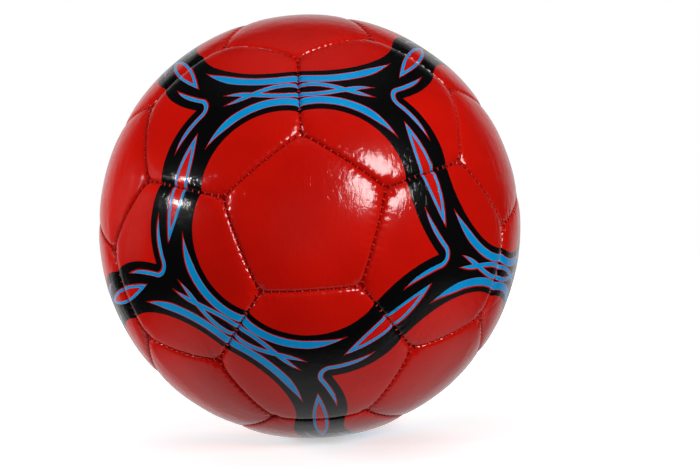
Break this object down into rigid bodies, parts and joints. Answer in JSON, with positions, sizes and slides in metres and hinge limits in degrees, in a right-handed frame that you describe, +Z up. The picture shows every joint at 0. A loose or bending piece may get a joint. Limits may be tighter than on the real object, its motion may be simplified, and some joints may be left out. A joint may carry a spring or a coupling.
{
  "type": "soccer ball",
  "caption": "Round inflated ball sewn from five- and six-sided panels with grooved seams, foam and cloth backing, an inner bladder and a needle valve.",
  "frame": {"origin": "centre of the ball", "axes": "+Y out through the needle valve, -Y out through the middle of the front five-sided panel, +Z up past that panel's top corner, +X to the right as seen from the front"},
  "size_m": [0.22, 0.2199, 0.22],
  "materials": {
    "cover_red": "glossy red cover sheet",
    "cover_print": "glossy cover sheet printed black and blue on red",
    "foam": "soft closed-cell foam",
    "lining": "woven cloth backing",
    "thread": "waxed red polyester thread",
    "bladder_rubber": "smooth butyl rubber",
    "valve_rubber": "moulded rubber"
  },
  "bodies": {
    "root": {"front_pentagon": "cover_red", "front_hexagon_1": "cover_print", "front_hexagon_2": "cover_print", "front_hexagon_3": "cover_print", "front_hexagon_4": "cover_print", "front_hexagon_5": "cover_print", "front_side_pentagon_1": "cover_red", "front_side_pentagon_2": "cover_red", "front_side_pentagon_3": "cover_red", "front_side_pentagon_4": "cover_red", "front_side_pentagon_5": "cover_red", "front_belt_hexagon_1": "cover_print", "front_belt_hexagon_2": "cover_print", "front_belt_hexagon_3": "cover_print", "front_belt_hexagon_4": "cover_print", "front_belt_hexagon_5": "cover_print", "back_belt_hexagon_1": "cover_print", "back_belt_hexagon_2": "cover_print", "back_belt_hexagon_3": "cover_print", "back_belt_hexagon_4": "cover_print", "back_belt_hexagon_5": "cover_print", "back_side_pentagon_1": "cover_red", "back_side_pentagon_2": "cover_red", "back_side_pentagon_3": "cover_red", "back_side_pentagon_4": "cover_red", "back_side_pentagon_5": "cover_red", "back_hexagon_1": "cover_print", "back_hexagon_2": "cover_print", "back_hexagon_3": "cover_print", "back_hexagon_4": "cover_print", "back_hexagon_5": "cover_print", "valve_pentagon": "cover_red", "pentagon_foam": "foam", "hexagon_foam": "foam", "pentagon_lining": "lining", "hexagon_lining": "lining", "machine_stitches": "thread", "closing_stitches": "thread", "bladder": "bladder_rubber", "valve_patch": "bladder_rubber", "valve_body": "valve_rubber", "valve_insert": "valve_rubber"}
  },
  "joints": []
}
